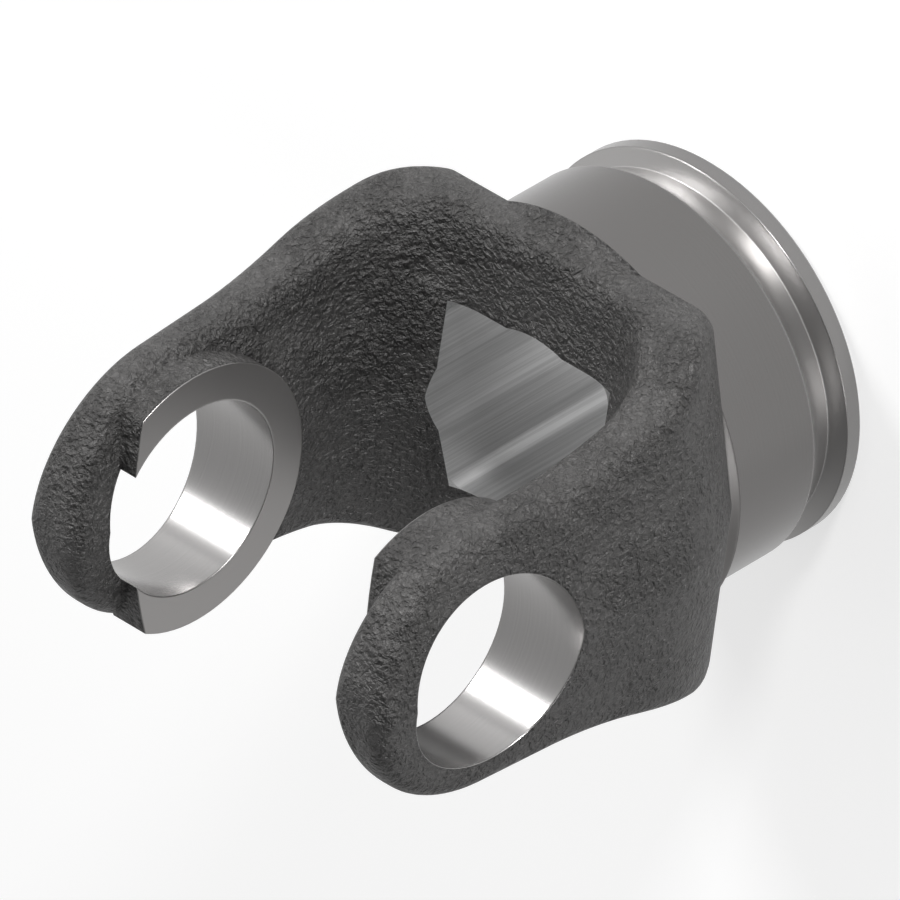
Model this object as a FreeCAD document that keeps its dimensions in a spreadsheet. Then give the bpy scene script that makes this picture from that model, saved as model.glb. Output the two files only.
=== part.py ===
"""Forged end yoke of a driveline: a two-eared fork on a turned hub with a square bore, in one piece.

The yoke stands on its hub end. Z runs up the shaft axis, X along the cup bores through the ears, and
Y along the way in which the two forging dies part. The origin is the centre of the hub's end face.
Lengths are in millimetres and angles in degrees.
"""
import math
import os

import FreeCAD
import Part
import Sketcher

NODE = "forged_yoke"

SIZES = (
    ("joint_height", 70.2, "joint centre above the hub's end face"),
    ("cup_radius", 13.5, "radius of the two cup bores"),
    ("spot_half_gap", 20.4, "joint centre to the machined inner face of an ear"),
    ("spot_radius", 18.6, "radius of that machined face"),
    ("spot_trim", 9.2, "the machined faces end this far above the joint centre, at their corners"),
    ("spot_trim_radius", 72.0, "radius of the line along which they end"),
    ("throat_half_width", 22.0, "half the gap between the forged ears, at the parting plane"),
    ("throat_floor", 32.9, "throat floor above the hub's end face, at the parting plane"),
    ("throat_corner", 15.0, "corner radius of the throat"),
    ("throat_draft", 8.0, "die draft of the throat"),
    ("outer_draft", 8.0, "die draft of the outer faces"),
    ("ear_end_thickness", 9.8, "thickness of an ear at its end, at the parting plane"),
    ("ear_root_thickness", 14.5, "thickness of an ear at its root, before the corner there is rounded"),
    ("root_rise", 7.9, "that corner lies this far above the turned shoulder"),
    ("root_round", 25.0, "rounding of that corner"),
    ("back_half_width", 27.7, "half width of the forged block at the turned shoulder"),
    ("ear_end_radius", 18.9, "radius of an ear's round end, seen along the cup bores"),
    ("ear_end_rise", 0.3, "the centre of that round end lies this far above the joint centre"),
    ("waist_below", 10.5, "below the joint centre by this much, the straight sides of an ear begin to flare"),
    ("flare_half_depth", 25.2, "half depth where that flare turns into the web"),
    ("flare_rise", 10.2, "that place lies this far above the turned shoulder"),
    ("web_half_depth", 26.7, "half depth of the web at its widest"),
    ("web_rise", 4.4, "the widest place of the web lies this far above the turned shoulder"),
    ("web_foot_half_depth", 23.5, "half depth of the rough forging at its foot, which the hub takes in"),
    ("outer_round", 3.0, "rounding of the outer long edges"),
    ("inner_round", 2.8, "rounding of the inner long edges"),
    ("die_offset", 0.75, "the forging sits this far off the machined axes, along +Y"),
    ("shoulder_height", 23.8, "turned shoulder above the hub's end face"),
    ("hub_radius", 27.5, "radius of the turned hub and of its rim"),
    ("hub_root_radius", 29.3, "radius of the unmachined hub root at the shoulder"),
    ("hub_root_top_radius", 26.8, "radius of the hub root where it runs into the web"),
    ("hub_root_rise", 5.0, "that place lies this far above the shoulder"),
    ("rim_height", 2.7, "height of the rim at the hub's end"),
    ("groove_radius", 25.2, "radius at the bottom of the shield groove"),
    ("groove_flank", 1.2, "height of the groove's flank above the rim"),
    ("groove_top", 8.7, "top of the groove's run-in above the hub's end face"),
    ("groove_sweep", 9.0, "radius of the run-in"),
    ("edge_break", 0.5, "chamfer on the rim"),
    ("square_flats", 28.6, "square bore across flats"),
    ("square_corner", 2.2, "corner radius of the square bore"),
    ("pilot_radius", 15.1, "radius of the round bore that the broach followed"),
)

doc = FreeCAD.newDocument(NODE)
sheet = doc.addObject("Spreadsheet::Sheet", "size")
for row, (alias, number, meaning) in enumerate(SIZES, 1):
    sheet.set("A%d" % row, meaning)
    sheet.set("B%d" % row, str(number))
    sheet.setAlias("B%d" % row, alias)
doc.recompute()


def new_body(name):
    made = doc.addObject("PartDesign::Body", name)
    made.Label = name
    return made


# The features below go into this body: first the rough forging, then the yoke that is machined from it.
body = new_body("forging")


def value(expression):
    """Number that an expression on the sheet's sizes gives."""
    return float(body.evalExpression(expression))


def bind_rule(sketch, rule, expression):
    sketch.setExpression("Constraints[%d]" % rule, expression)


def origin_plane(role):
    return next(item for item in body.Origin.OriginFeatures if item.Role == role)


def new_sketch(name, role, lift=None):
    """Sketch on one of the body's origin planes, or lifted off it along its normal."""
    sketch = body.newObject("Sketcher::SketchObject", name)
    sketch.AttachmentSupport = [(origin_plane(role), "")]
    sketch.MapMode = "FlatFace"
    if lift:
        sketch.setExpression(".AttachmentOffset.Base.z", lift)
    return sketch


def pin(sketch, edge, end, across, up):
    """Hold one point of an edge at the place that two expressions give."""
    for kind, place in (("DistanceX", across), ("DistanceY", up)):
        rule = sketch.addConstraint(Sketcher.Constraint(kind, -1, 1, edge, end, value(place)))
        bind_rule(sketch, rule, place)


def nearer_end(shape, point):
    """1 where an edge starts at the point, 2 where it ends there."""
    return 1 if shape.StartPoint.distanceToPoint(point) < shape.EndPoint.distanceToPoint(point) else 2


def counter_clockwise(start, middle, end):
    """Arc through three points that runs counter-clockwise, from the last point to the first if need be."""
    chord = end - start
    if chord.x * (middle - start).y > chord.y * (middle - start).x:
        start, end = end, start
    return Part.Arc(start, middle, end)


def bulging_arc(start, end, radius):
    """Arc of a given radius that bulges to the right of its chord, or to the left where negative."""
    chord = end - start
    right = FreeCAD.Vector(chord.y, -chord.x, 0).normalize()
    sagitta = abs(radius) - math.sqrt(radius ** 2 - chord.Length ** 2 / 4)
    return counter_clockwise(start, (start + end) * 0.5 + right * math.copysign(sagitta, radius), end)


def following_arc(start, end, heading):
    """Arc that leaves its start along a heading."""
    chord = end - start
    left = FreeCAD.Vector(-heading.y, heading.x, 0)
    half_turn = math.atan2(left.dot(chord), heading.dot(chord))
    right = FreeCAD.Vector(chord.y, -chord.x, 0)
    return counter_clockwise(start, (start + end) * 0.5 + right * (math.tan(half_turn / 2) / 2), end)


def heading_at(shape, point):
    """Unit direction in which an edge arrives at its end at a point."""
    if isinstance(shape, Part.LineSegment):
        way = shape.EndPoint - shape.StartPoint
    else:
        arm = point - shape.Center
        way = FreeCAD.Vector(-arm.y, arm.x, 0)
    return way.normalize() * (1 if nearer_end(shape, point) == 2 else -1)


def outline(sketch, corners):
    """Closed outline through corners (across, up, side). The side from a corner to the next is straight
    for None, an arc that follows on from the side before for "follow", or an arc of the radius given."""
    points = [FreeCAD.Vector(value(across), value(up), 0) for across, up, side in corners]
    for number, (across, up, side) in enumerate(corners):
        start, end = points[number], points[(number + 1) % len(points)]
        if side is None:
            shape = Part.LineSegment(start, end)
        elif side == "follow":
            shape = following_arc(start, end, heading_at(sketch.Geometry[number - 1], start))
        else:
            shape = bulging_arc(start, end, value(side))
        sketch.addGeometry(shape, False)
    shapes = sketch.Geometry
    for number, (across, up, side) in enumerate(corners):
        before = (number - 1) % len(corners)
        here = nearer_end(shapes[number], points[number])
        there = nearer_end(shapes[before], points[number])
        joins = "Tangent" if side == "follow" else "Coincident"
        sketch.addConstraint(Sketcher.Constraint(joins, before, there, number, here))
        pin(sketch, number, here, across, up)
        if side not in (None, "follow"):
            rule = sketch.addConstraint(Sketcher.Constraint("Radius", number, abs(value(side))))
            bind_rule(sketch, rule, "abs(%s)" % side)


def both_sides(right):
    """Corners of a right half from the bottom up, then their mirror images from the top down."""
    sides = [None] + [side for across, up, side in right[:-1]]
    left = [("-(%s)" % across, up, side) for (across, up, own), side in zip(right, sides)]
    return right + left[::-1]


def circle(sketch, across, up, radius):
    centre = FreeCAD.Vector(value(across), value(up), 0)
    edge = sketch.addGeometry(Part.Circle(centre, FreeCAD.Vector(0, 0, 1), value(radius)), False)
    pin(sketch, edge, 3, across, up)
    rule = sketch.addConstraint(Sketcher.Constraint("Radius", edge, value(radius)))
    bind_rule(sketch, rule, radius)


def new_feature(kind, name):
    """New feature of the body, which becomes the body's tip only once it is finished."""
    tip = body.Tip
    feature = body.newObject("PartDesign::" + kind, name)
    body.Tip = tip
    return feature


def finish(feature, change):
    """Recompute a feature and stop where it failed, or changed the volume the wrong way or not at all."""
    before = body.Tip.Shape.Volume if body.Tip else 0
    doc.recompute()
    if not feature.isValid() or feature.Shape.isNull():
        raise RuntimeError("%s failed: %s" % (feature.Name, feature.State))
    gain = feature.Shape.Volume - before
    if abs(gain) < 0.01 or (change == "adds" and gain < 0) or (change == "cuts" and gain > 0):
        raise RuntimeError("%s changed the volume by %.2f" % (feature.Name, gain))
    body.Tip = feature
    return feature


def extrude(kind, name, sketch, ahead, behind=None, turned=False, lean=None):
    """Pad or pocket of a sketch, ahead of its plane and where asked behind it. Where lean is given, it
    runs upwards along a slanted line that moves this far in X for each unit of Z."""
    feature = new_feature(kind, name)
    feature.Profile = sketch
    feature.Reversed = turned
    if lean:
        feature.AlongSketchNormal = False
        feature.UseCustomVector = True
        feature.Direction = FreeCAD.Vector(value(lean), 0, 1)
        feature.setExpression("Direction.x", lean)
    feature.setExpression("Length", ahead)
    if behind:
        feature.SideType = "Two sides"
        feature.setExpression("Length2", behind)
    return finish(feature, "adds" if kind == "Pad" else "cuts")


def revolve(kind, name, sketch):
    """Revolution or groove of a sketch about the shaft axis."""
    feature = new_feature(kind, name)
    feature.Profile = sketch
    feature.ReferenceAxis = (sketch, ["V_Axis"])
    feature.Angle = 360
    return finish(feature, "adds" if kind == "Revolution" else "cuts")


def round_edges(name, test, radius):
    """Fillet the edges of the solid so far that pass a test."""
    chosen = ["Edge%d" % number for number, edge in enumerate(body.Tip.Shape.Edges, 1) if test(edge)]
    feature = new_feature("Fillet", name)
    feature.Base = (body.Tip, chosen)
    feature.setExpression("Radius", radius)
    return finish(feature, "either")


def mirror(name, role, originals=None, change="adds"):
    """Mirror some features, or the whole solid so far, in an origin plane."""
    feature = new_feature("Mirrored", name)
    if originals:
        feature.Originals = originals
    else:
        feature.TransformMode = "Whole shape"
    feature.MirrorPlane = (origin_plane(role), [""])
    return finish(feature, change)


# The forging is made as one die half and mirrored in the dies' parting plane. Past the ear ends and
# below the turned shoulder its outlines run on into the cuts.
BEYOND_ENDS = "size.joint_height + size.ear_end_rise + 1.5 * size.ear_end_radius"
BELOW_SHOULDER = "0.8 * size.shoulder_height"
DIE_DEPTH = "size.web_half_depth * 1.1"
ROOT_HEIGHT = "(size.shoulder_height + size.root_rise)"
TIP_HEIGHT = "(size.joint_height + size.ear_end_rise + size.ear_end_radius)"
ROOT_HALF_WIDTH = "(size.throat_half_width + size.ear_root_thickness)"
EAR_LEAN = "(size.ear_end_thickness - size.ear_root_thickness) / (%s - %s)" % (TIP_HEIGHT, ROOT_HEIGHT)
ROOT_LEAN = "(%s - size.back_half_width) / size.root_rise" % ROOT_HALF_WIDTH


def die_tongue():
    """The die's tongue that shapes the throat: drafted walls and floor, with its two corners rounded."""
    tongue = doc.addObject("PartDesign::Body", "die_tongue")
    wedge = tongue.newObject("PartDesign::AdditiveWedge", "tongue_block")
    flare = "(%s) * tan(size.throat_draft)" % DIE_DEPTH
    for side, place in (
        ("Xmin", "-size.throat_half_width"),
        ("Xmax", "size.throat_half_width"),
        ("X2min", "-size.throat_half_width - " + flare),
        ("X2max", "size.throat_half_width + " + flare),
        ("Zmin", "size.throat_floor"),
        ("Z2min", "size.throat_floor - " + flare),
        ("Zmax", BEYOND_ENDS),
        ("Z2max", BEYOND_ENDS),
        ("Ymin", "0"),
        ("Ymax", DIE_DEPTH),
    ):
        wedge.setExpression(side, place)
    doc.recompute()
    highest_corner = value("size.throat_floor") + 1
    corners = []
    for number, edge in enumerate(wedge.Shape.Edges, 1):
        if edge.BoundBox.YLength > 1 and edge.BoundBox.ZMax < highest_corner:
            corners.append("Edge%d" % number)
    rounding = tongue.newObject("PartDesign::Fillet", "tongue_corners")
    rounding.Base = (wedge, corners)
    rounding.setExpression("Radius", "size.throat_corner")
    tongue.Tip = rounding
    doc.recompute()
    return tongue


def on_root_corner(edge):
    """The corner between the two drafted outer faces, which runs from the parting plane outwards."""
    box = edge.BoundBox
    corner_height = value(ROOT_HEIGHT)
    near = min(abs(box.ZMax - corner_height), abs(box.ZMin - corner_height)) < 6
    return near and box.YLength > 10


def on_ear_end(edge, outer):
    """An edge round an ear's end, from which a rounding runs on along the whole outline."""
    middle = edge.valueAt((edge.FirstParameter + edge.LastParameter) / 2)
    past_centre = middle.z > value("size.joint_height + size.ear_end_rise")
    is_outer = abs(middle.x) > value("size.throat_half_width + size.ear_end_thickness / 2")
    return past_centre and middle.y > 1 and is_outer == outer


def die_half():
    """Fork block with its throat and draft, cut to its outline as seen along the cup bores."""
    block = new_sketch("fork_block_plan", "XZ_Plane")
    outline(block, both_sides([
        (ROOT_HALF_WIDTH, BELOW_SHOULDER, None),
        (ROOT_HALF_WIDTH, BEYOND_ENDS, None),
    ]))
    extrude("Pad", "fork_block", block, DIE_DEPTH, turned=True)

    faces = []
    for name, lean, downwards in (("ear_face", EAR_LEAN, False), ("root_face", ROOT_LEAN, True)):
        section = new_sketch(name + "_section", "XY_Plane", lift=ROOT_HEIGHT)
        drafted = "%s - (%s) * tan(size.outer_draft)" % (ROOT_HALF_WIDTH, DIE_DEPTH)
        outline(section, [
            (ROOT_HALF_WIDTH, "0", None),
            ("3 * " + ROOT_HALF_WIDTH, "0", None),
            ("3 * " + ROOT_HALF_WIDTH, DIE_DEPTH, None),
            (drafted, DIE_DEPTH, None),
        ])
        faces.append(extrude("Pocket", name, section, BEYOND_ENDS, turned=downwards, lean=lean))
    mirror("other_ear", "YZ_Plane", faces, "cuts")
    round_edges("root_rounding", on_root_corner, "size.root_round")

    side = new_sketch("fork_side", "YZ_Plane")
    outside = "2 * size.web_half_depth"
    outline(side, [
        ("0", TIP_HEIGHT, "-size.ear_end_radius"),
        ("size.ear_end_radius", "size.joint_height + size.ear_end_rise", None),
        ("size.ear_end_radius", "size.joint_height - size.waist_below", "follow"),
        ("size.flare_half_depth", "size.shoulder_height + size.flare_rise", "follow"),
        ("size.web_half_depth", "size.shoulder_height + size.web_rise", "follow"),
        ("size.web_foot_half_depth", BELOW_SHOULDER, None),
        (outside, BELOW_SHOULDER, None),
        (outside, "2 * (%s)" % BEYOND_ENDS, None),
        ("0", "2 * (%s)" % BEYOND_ENDS, None),
    ])
    reach = "2 * " + ROOT_HALF_WIDTH
    extrude("Pocket", "fork_outline", side, reach, reach)
    round_edges("outer_rounding", lambda edge: on_ear_end(edge, True), "size.outer_round")

    throat = new_feature("Boolean", "throat")
    throat.Type = "Cut"
    throat.setObjects([die_tongue()])
    finish(throat, "cuts")
    round_edges("inner_rounding", lambda edge: on_ear_end(edge, False), "size.inner_round")


def turned_hub(forging):
    """Hub blank in one with the forged fork, then everything that is turned about the shaft axis."""
    blank = new_sketch("hub_blank_section", "XZ_Plane")
    outline(blank, [
        ("0", "0", None),
        ("size.hub_root_radius", "0", None),
        ("size.hub_root_radius", "size.shoulder_height", None),
        ("size.hub_root_top_radius", "size.shoulder_height + size.hub_root_rise", None),
        ("0", "size.shoulder_height + size.hub_root_rise", None),
    ])
    revolve("Revolution", "hub_blank", blank)

    joined = new_feature("Boolean", "fork_joined")
    joined.Type = "Fuse"
    joined.setObjects([forging])
    finish(joined, "adds")

    turning = new_sketch("turning_section", "XZ_Plane")
    clear_of_fork = "1.5 * " + ROOT_HALF_WIDTH
    outline(turning, [
        ("size.hub_radius - 2 * size.edge_break", "-size.edge_break", None),
        ("size.hub_radius", "size.edge_break", None),
        ("size.hub_radius", "size.rim_height", None),
        ("size.groove_radius", "size.rim_height + size.groove_flank", "-size.groove_sweep"),
        ("size.hub_radius", "size.groove_top", None),
        ("size.hub_radius", "size.shoulder_height", None),
        (clear_of_fork, "size.shoulder_height", None),
        (clear_of_fork, "-size.edge_break", None),
    ])
    revolve("Groove", "turning", turning)


def machined_seats():
    """Raised round bosses on the inner faces of the ears, cut short towards the ear ends."""
    section = new_sketch("seat_outline", "YZ_Plane", lift="size.spot_half_gap")
    corner = "sqrt(size.spot_radius ^ 2 - size.spot_trim ^ 2)"
    trimmed_at = "size.joint_height + size.spot_trim"
    outline(section, [
        (corner, trimmed_at, "-size.spot_radius"),
        ("0", "size.joint_height - size.spot_radius", "-size.spot_radius"),
        ("-" + corner, trimmed_at, "-size.spot_trim_radius"),
    ])
    into_ear = "size.throat_half_width - size.spot_half_gap + size.spot_radius * tan(size.throat_draft) + 1.5"
    seat = extrude("Pad", "seat", section, into_ear)
    mirror("other_seat", "YZ_Plane", [seat])


def bores():
    """Cup bores through both ears, and the square bore broached along a round one through the hub."""
    cups = new_sketch("cup_circle", "YZ_Plane")
    circle(cups, "0", "size.joint_height", "size.cup_radius")
    reach = "1.5 * " + ROOT_HALF_WIDTH
    extrude("Pocket", "cup_bores", cups, reach, reach)

    pilot = new_sketch("pilot_circle", "XY_Plane")
    circle(pilot, "0", "0", "size.pilot_radius")
    extrude("Pocket", "pilot_bore", pilot, "size.joint_height", turned=True)

    square = new_sketch("square_outline", "XY_Plane")
    flat = "size.square_flats / 2"
    inner = flat + " - size.square_corner"
    outline(square, [
        (flat, "-(%s)" % inner, None),
        (flat, inner, "size.square_corner"),
        (inner, flat, None),
        ("-(%s)" % inner, flat, "size.square_corner"),
        ("-" + flat, inner, None),
        ("-" + flat, "-(%s)" % inner, "size.square_corner"),
        ("-(%s)" % inner, "-" + flat, None),
        (inner, "-" + flat, "size.square_corner"),
    ])
    extrude("Pocket", "square_bore", square, "size.joint_height", turned=True)


def export():
    """Stop where any object failed or the solid is not sound, then write the STEP file."""
    doc.recompute()
    for item in doc.Objects:
        if "Invalid" in item.State or "Error" in item.State:
            raise RuntimeError("%s failed: %s" % (item.Name, item.State))
    shape = body.Shape
    if not shape.isValid() or len(shape.Solids) != 1:
        raise RuntimeError("the yoke is not one valid solid")
    os.makedirs("parts", exist_ok=True)
    shape.exportStep("parts/%s.step" % NODE)


die_half()
mirror("other_die_half", "XZ_Plane")
body.setExpression(".Placement.Base.y", "size.die_offset")
fork = body
body = new_body(NODE)
turned_hub(fork)
machined_seats()
bores()
export()
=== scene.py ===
"""Looks of the forged end yoke: forged skin, machined faces, and the studio it stands in."""
import math

import bpy
from mathutils import Matrix, Vector


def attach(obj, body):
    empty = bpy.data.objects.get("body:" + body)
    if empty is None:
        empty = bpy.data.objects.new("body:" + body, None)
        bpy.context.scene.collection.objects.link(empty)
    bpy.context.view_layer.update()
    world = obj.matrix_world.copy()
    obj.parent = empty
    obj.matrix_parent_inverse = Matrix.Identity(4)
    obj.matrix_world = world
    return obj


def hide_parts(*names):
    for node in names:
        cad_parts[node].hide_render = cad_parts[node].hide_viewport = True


MM = 0.001

# Places on the yoke, in millimetres, as the record's frame has them.
JOINT_HEIGHT = 70.2
CUP_RADIUS = 13.5
SEAT_HALF_GAP = 20.4
SHOULDER_HEIGHT = 23.8
HUB_ROOT_RADIUS = 29.3
HUB_ROOT_TOP_RADIUS = 26.8
HUB_ROOT_RISE = 5.0
GROOVE_TOP = 8.7
RIM_HEIGHT = 2.7
SQUARE_FLATS = 28.6
PILOT_RADIUS = 15.1

# Where finishes end, in millimetres: the fork's bores and seats lie above the first height, the broached
# bore below the second, and the hub root is turned metal this far to either side in Y.
FORK_FROM = 45.0
BROACHED_TO = 46.0
TURNED_ROOT_HALF_DEPTH = 20.0

# Masks reach this far past the faces that they cover, in millimetres.
MARGIN = 0.05

# Edges stay sharp where faces meet at more than this angle. Points closer than this, in metres, are merged.
SMOOTH_ANGLE = math.radians(32)
MERGE_DISTANCE = 1e-6

# Grain of the forged skin. Scales are in cycles per millimetre and radii in millimetres.
DRIFT_SCALE = 0.7
DRIFT_REACH = 1.5
WRINKLE_SCALE = 1.35
PIT_SCALE = 1.5
PIT_SHARE = 0.4
WAVE_SCALE = 0.12
WAVE_SHARE = 0.4
CREASE_RADIUS = 1.6

# Marks of the tools: heights and the radius of broken edges, in millimetres.
TOOL_MARK_HEIGHT = 0.0012
BROACH_MARK_HEIGHT = 0.007
BROKEN_EDGE_RADIUS = 0.35

# Lamps: name, way from the joint, distance, width and power.
LAMPS = (
    ("key", (-0.577, 0.716, 0.392), 0.85, 0.2, 4.3),
    ("rake", (0.42, 1.0, 0.12), 0.9, 0.12, 8.0),
    ("fill", (1.0, -0.15, 0.2), 0.9, 0.3, 1.9),
)

# Camera: lens and sensor in millimetres, far clip in metres, and its place right of, above and back
# from the joint, in millimetres.
LENS_LENGTH = 800.0
SENSOR_WIDTH = 36.0
FAR_CLIP = 20.0
CAMERA_OFFSET = (17.23, 14.41, 2488.64)

# Floor: width in metres, grey of its cloth, and the glow that the camera and mirrors see.
FLOOR_WIDTH = 8.0
FLOOR_CLOTH = 0.5
FLOOR_GLOW = 0.6

# World: the way in which it is brightest, where along it the light fades in, and its two strengths.
WORLD_WAY = (-0.9, 0.0, -0.6)
WORLD_FADE = (-0.8, 0.6)
WORLD_STRENGTHS = (0.15, 0.85)


def grey(level, warmth=0.0):
    """Linear grey, a little warmer where asked."""
    return (level * (1 + warmth), level, level * (1 - warmth / 2), 1.0)


# Colours of the finishes, and painted light on the groove and the rim. Where there are two, the first is
# for low noise and the second for high noise.
SKIN = (grey(0.044, 0.03), grey(0.083, 0.03))
LATHE = (grey(0.16, 0.03), grey(0.195, 0.03))
BORED = (grey(0.32, 0.02), grey(0.38, 0.02))
BROACH = (grey(0.66), grey(0.52))
# The groove and the rim are painted lighter than the turned metal around them: painted light that stands in
# for brighter reflections in them.
GROOVE_PAINTED_LIGHT = grey(0.40, 0.02)
RIM_PAINTED_LIGHT = grey(0.25, 0.02)
SEAT = grey(0.28, 0.03)


class Wire:
    """A socket that a value comes out of, so that sums on it can be written as Python expressions."""

    def __init__(self, finish, socket):
        self.finish = finish
        self.socket = socket

    def maths(self, operation, *others):
        return self.finish.node("ShaderNodeMath", {"operation": operation}, self, *others)

    def __add__(self, other):
        return self.maths("ADD", other)

    __radd__ = __add__

    def __mul__(self, other):
        return self.maths("MULTIPLY", other)

    __rmul__ = __mul__

    def __sub__(self, other):
        return self.maths("SUBTRACT", other)

    def __rsub__(self, other):
        return self.finish.node("ShaderNodeMath", {"operation": "SUBTRACT"}, other, self)

    def __abs__(self):
        return self.maths("ABSOLUTE")

    def larger(self, other):
        return self.maths("MAXIMUM", other)

    def length_with(self, other):
        return (self * self + other * other).maths("SQRT")

    def above(self, level, blur=0.02):
        """1 where the value is above a level and 0 below it, with a soft step between."""
        return self.finish.node(
            "ShaderNodeMapRange", {"interpolation_type": "SMOOTHSTEP"},
            self, level - blur, level + blur, 0.0, 1.0)

    def below(self, level, blur=0.02):
        return 1.0 - self.above(level, blur)

    def between_colours(self, first, second):
        """First colour where the value is 0, second where it is 1."""
        return self.finish.node(
            "ShaderNodeMix", {"data_type": "RGBA"}, **{"0": self, "6": first, "7": second}, output=2)


class Finish:
    """A material that is built node by node."""

    def __init__(self, name):
        self.material = bpy.data.materials.new(name)
        self.material.use_nodes = True
        self.tree = self.material.node_tree
        self.tree.nodes.clear()

    def node(self, kind, settings, *inputs, output=0, **named):
        """Add a node, make its settings, and fill its sockets in order, or by number or name."""
        made = self.tree.nodes.new(kind)
        for setting, choice in settings.items():
            setattr(made, setting, choice)
        pairs = list(enumerate(inputs))
        for key, content in named.items():
            pairs.append((int(key) if key.isdigit() else key.replace("_", " "), content))
        for key, content in pairs:
            socket = made.inputs[key]
            if isinstance(content, Wire):
                self.tree.links.new(content.socket, socket)
            else:
                socket.default_value = content
        return Wire(self, made.outputs[output])

    def surface(self, shader):
        """Give the material its shader."""
        end = self.tree.nodes.new("ShaderNodeOutputMaterial")
        self.tree.links.new(shader.socket, end.inputs[0])


def yoke_finish():
    """Dark forged skin with a leathery grain, and bright metal where it is turned, bored or broached."""
    finish = Finish("forged_and_machined_steel")
    place = finish.node("ShaderNodeTexCoord", {}, output=3)
    scaled = finish.node("ShaderNodeVectorMath", {"operation": "SCALE"}, place, Scale=1 / MM)
    split = finish.node("ShaderNodeSeparateXYZ", {}, scaled)
    x, y, z = (Wire(finish, socket) for socket in split.socket.node.outputs)
    up = z - JOINT_HEIGHT
    from_bore_axis = y.length_with(up)
    from_shaft_axis = x.length_with(y)

    in_fork = z.above(FORK_FROM)
    cup_wall = from_bore_axis.below(CUP_RADIUS + MARGIN) * in_fork
    seat = abs(x).below(SEAT_HALF_GAP + 2 * MARGIN, 0.05) * in_fork
    root_slope = (HUB_ROOT_RADIUS - HUB_ROOT_TOP_RADIUS) / HUB_ROOT_RISE
    off_root = abs(from_shaft_axis + (z - SHOULDER_HEIGHT) * root_slope - HUB_ROOT_RADIUS)
    root_height = z.below(SHOULDER_HEIGHT + HUB_ROOT_RISE)
    hub_root = off_root.below(0.12, 0.04) * root_height * abs(y).below(TURNED_ROOT_HALF_DEPTH, 1.0)
    turned = z.below(SHOULDER_HEIGHT + MARGIN).larger(hub_root)
    groove = z.below(GROOVE_TOP, 0.3) * z.above(RIM_HEIGHT, 0.1)
    rim = z.below(RIM_HEIGHT, 0.1)
    in_square = abs(x).larger(abs(y)).below(SQUARE_FLATS / 2 + MARGIN)
    in_pilot = from_shaft_axis.below(PILOT_RADIUS + MARGIN)
    broached = in_square.larger(in_pilot) * z.below(BROACHED_TO)
    machined = cup_wall.larger(seat).larger(turned).larger(broached)

    # Forged skin: wrinkles under a millimetre wide with pits between them, over a slow waviness.
    drift = finish.node(
        "ShaderNodeTexNoise", {}, Vector=scaled, Scale=DRIFT_SCALE, Detail=2.0, Roughness=0.6, output=1)
    drifted = finish.node(
        "ShaderNodeVectorMath", {"operation": "MULTIPLY_ADD"}, drift, (DRIFT_REACH,) * 3, scaled)
    wrinkles = finish.node(
        "ShaderNodeTexNoise", {}, Vector=drifted, Scale=WRINKLE_SCALE, Detail=3.0, Roughness=0.55)
    pits = finish.node(
        "ShaderNodeTexVoronoi", {"feature": "SMOOTH_F1"}, Vector=drifted, Scale=PIT_SCALE, Smoothness=0.5)
    waves = finish.node(
        "ShaderNodeTexNoise", {}, Vector=scaled, Scale=WAVE_SCALE, Detail=2.0, Roughness=0.5)
    patches = waves.above(0.5, 0.12)
    grain = wrinkles + pits * PIT_SHARE
    depth = 0.8 + patches * 0.9
    soft_creases = finish.node("ShaderNodeBevel", {"samples": 8}, CREASE_RADIUS * MM)
    forged_bump = finish.node(
        "ShaderNodeBump", {}, Strength=1.0, Distance=MM, Height=grain * depth + waves * WAVE_SHARE,
        Normal=soft_creases)
    skin_colour = (wrinkles * 2.0 - 0.5).between_colours(*SKIN)
    forged = finish.node(
        "ShaderNodeBsdfPrincipled", {}, Base_Color=skin_colour, Metallic=0.35,
        Roughness=0.6 - wrinkles * 0.2, Normal=forged_bump)

    # Turned and bored faces carry fine rings.
    rings = finish.node(
        "ShaderNodeTexNoise", {"noise_dimensions": "1D"}, W=z * 6.0 + from_shaft_axis * 6.0,
        Scale=1.0, Detail=3.0, Roughness=0.6)
    bored = finish.node(
        "ShaderNodeTexNoise", {"noise_dimensions": "1D"}, W=x * 4.0 + from_bore_axis * 5.0,
        Scale=1.0, Detail=3.0, Roughness=0.6)
    tool_marks = rings * turned + bored * cup_wall.larger(seat)
    broken_edges = finish.node("ShaderNodeBevel", {"samples": 8}, BROKEN_EDGE_RADIUS * MM)
    machined_bump = finish.node(
        "ShaderNodeBump", {}, Strength=1.0, Distance=MM, Height=tool_marks * TOOL_MARK_HEIGHT,
        Normal=broken_edges)
    plain_lathe_colour = rings.between_colours(*LATHE)
    # The groove and the rim take lighter colours here: painted light, not a finish of their own.
    lathe_colour_with_painted_light = rim.between_colours(groove.between_colours(plain_lathe_colour, GROOVE_PAINTED_LIGHT), RIM_PAINTED_LIGHT)
    bored_colour = seat.between_colours(bored.between_colours(*BORED), SEAT)
    metal = finish.node(
        "ShaderNodeBsdfPrincipled", {}, Base_Color=turned.between_colours(bored_colour, lathe_colour_with_painted_light),
        Metallic=1.0, Roughness=0.26 + seat * 0.11 + groove * 0.12 + hub_root * 0.2, Normal=machined_bump)

    # The broached square carries fine stripes along the shaft.
    along = finish.node("ShaderNodeCombineXYZ", {}, x * 2.2, y * 2.2, z * 0.035)
    stripes = finish.node(
        "ShaderNodeTexNoise", {}, Vector=along, Scale=1.0, Detail=3.0, Roughness=0.65)
    broach_colour = stripes.above(0.5, 0.18).between_colours(*BROACH)
    broach_bump = finish.node(
        "ShaderNodeBump", {}, Strength=1.0, Distance=MM, Height=stripes * BROACH_MARK_HEIGHT)
    broach = finish.node(
        "ShaderNodeBsdfPrincipled", {}, Base_Color=broach_colour, Metallic=1.0, Roughness=0.42,
        Normal=broach_bump)

    bright = finish.node("ShaderNodeMixShader", {}, broached, metal, broach)
    finish.surface(finish.node("ShaderNodeMixShader", {}, machined, forged, bright))
    return finish.material


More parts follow.
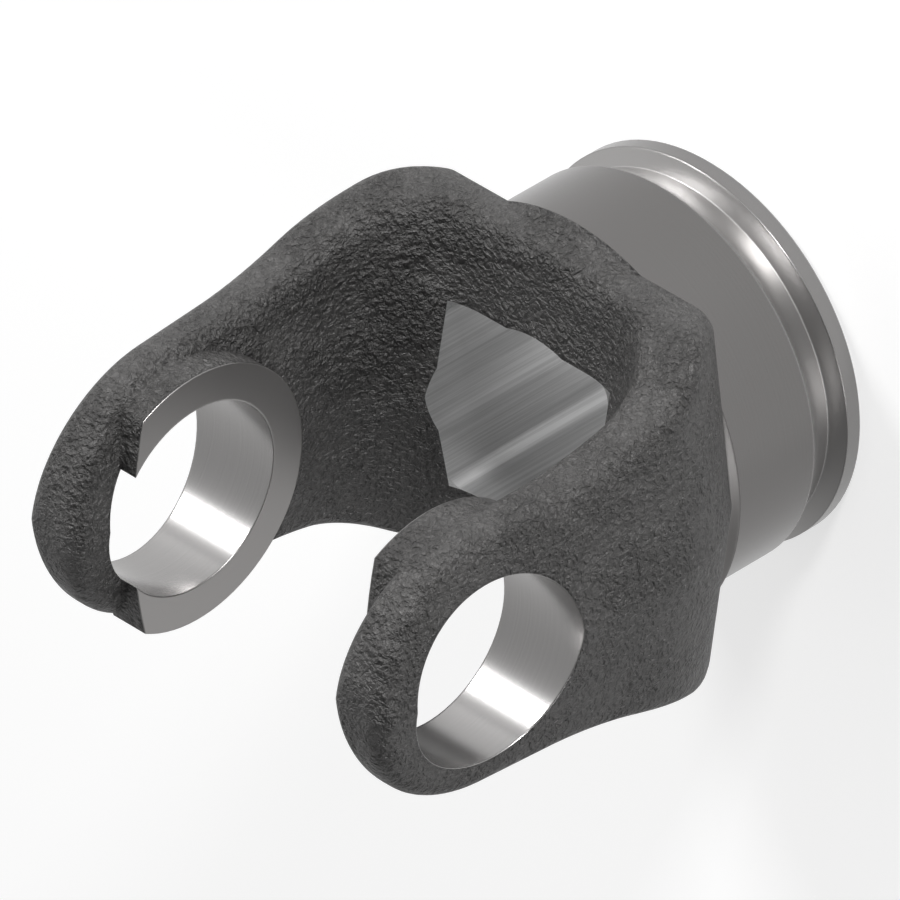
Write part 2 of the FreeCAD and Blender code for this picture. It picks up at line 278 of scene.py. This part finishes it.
def yoke_piece(source):
    """The yoke's skin: the CAD node's faces, merged and shaded smooth between their real edges."""
    bpy.ops.object.select_all(action="DESELECT")
    piece = source.copy()
    piece.data = source.data.copy()
    piece.name = "yoke"
    bpy.context.scene.collection.objects.link(piece)
    bpy.context.view_layer.objects.active = piece
    piece.select_set(True)
    bpy.ops.object.mode_set(mode="EDIT")
    bpy.ops.mesh.select_all(action="SELECT")
    bpy.ops.mesh.remove_doubles(threshold=MERGE_DISTANCE)
    bpy.ops.object.mode_set(mode="OBJECT")
    bpy.ops.mesh.customdata_custom_splitnormals_clear()
    bpy.ops.object.shade_smooth_by_angle(angle=SMOOTH_ANGLE)
    piece.data.materials.clear()
    piece.data.materials.append(yoke_finish())
    return piece


def floor_piece():
    """Pale floor that the yoke stands on. The camera and mirrors see it nearly white, with its shadow."""
    finish = Finish("pale_floor")
    light_path = finish.node("ShaderNodeLightPath", {})
    outputs = light_path.socket.node.outputs
    camera, glossy, transmission = (
        Wire(finish, outputs[name]) for name in ("Is Camera Ray", "Is Glossy Ray", "Is Transmission Ray"))
    seen = camera.larger(glossy).larger(transmission)
    cloth = finish.node("ShaderNodeBsdfDiffuse", {}, grey(FLOOR_CLOTH))
    glow = finish.node("ShaderNodeEmission", {}, grey(1.0), FLOOR_GLOW)
    shown = finish.node("ShaderNodeAddShader", {}, cloth, glow)
    finish.surface(finish.node("ShaderNodeMixShader", {}, seen, cloth, shown))
    bpy.ops.mesh.primitive_plane_add(size=FLOOR_WIDTH, location=(0, 0, 0))
    floor = bpy.context.object
    floor.name = "floor"
    bpy.ops.object.transform_apply()
    floor.data.materials.append(finish.material)


def camera_and_lamps():
    """Camera at the photograph's angle, and soft lamps round the yoke."""
    back = Vector((1, 1, 1)).normalized()
    right = Vector((1, 0, -1)).normalized()
    upward = back.cross(right)
    joint = Vector((0, 0, JOINT_HEIGHT * MM))

    lens = bpy.data.cameras.new("camera")
    lens.lens = LENS_LENGTH
    lens.sensor_width = SENSOR_WIDTH
    lens.clip_end = FAR_CLIP
    camera = bpy.data.objects.new("camera", lens)
    bpy.context.scene.collection.objects.link(camera)
    camera.matrix_world = Matrix((right, upward, back)).transposed().to_4x4()
    aside, higher, behind = CAMERA_OFFSET
    camera.location = joint + (aside * right + higher * upward + behind * back) * MM
    bpy.context.scene.camera = camera

    for name, way, distance, size, power in LAMPS:
        lamp = bpy.data.lights.new(name, "AREA")
        lamp.size = size
        lamp.energy = power
        stand = bpy.data.objects.new(name, lamp)
        bpy.context.scene.collection.objects.link(stand)
        stand.location = joint + Vector(way).normalized() * distance
        stand.rotation_euler = Vector(way).to_track_quat("Z", "Y").to_euler()


def even_world():
    """Soft light from all round, brightest low on the left ear's side, and faint overhead and opposite."""
    world = bpy.data.worlds.new("studio")
    bpy.context.scene.world = world
    world.use_nodes = True
    tree = world.node_tree
    way = tree.nodes.new("ShaderNodeTexCoord")
    toward = tree.nodes.new("ShaderNodeVectorMath")
    toward.operation = "DOT_PRODUCT"
    toward.inputs[1].default_value = WORLD_WAY
    fade = tree.nodes.new("ShaderNodeMapRange")
    fade.interpolation_type = "SMOOTHSTEP"
    for number, level in enumerate(WORLD_FADE + WORLD_STRENGTHS, 1):
        fade.inputs[number].default_value = level
    tree.links.new(way.outputs["Generated"], toward.inputs[0])
    tree.links.new(toward.outputs["Value"], fade.inputs[0])
    tree.links.new(fade.outputs[0], tree.nodes["Background"].inputs["Strength"])
    tree.nodes["Background"].inputs["Color"].default_value = grey(1.0)
    bpy.context.scene.view_settings.view_transform = "Standard"


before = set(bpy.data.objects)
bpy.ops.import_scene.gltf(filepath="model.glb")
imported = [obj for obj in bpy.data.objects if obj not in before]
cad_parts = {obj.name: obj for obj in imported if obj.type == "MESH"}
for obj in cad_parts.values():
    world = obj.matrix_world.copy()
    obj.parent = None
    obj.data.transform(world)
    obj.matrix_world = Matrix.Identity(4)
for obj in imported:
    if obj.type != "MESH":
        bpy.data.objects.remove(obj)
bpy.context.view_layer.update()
bpy.ops.object.select_all(action="DESELECT")
yoke = yoke_piece(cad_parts["forged_yoke"])
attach(yoke, "root")
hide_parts("forged_yoke")
floor_piece()
camera_and_lamps()
even_world()
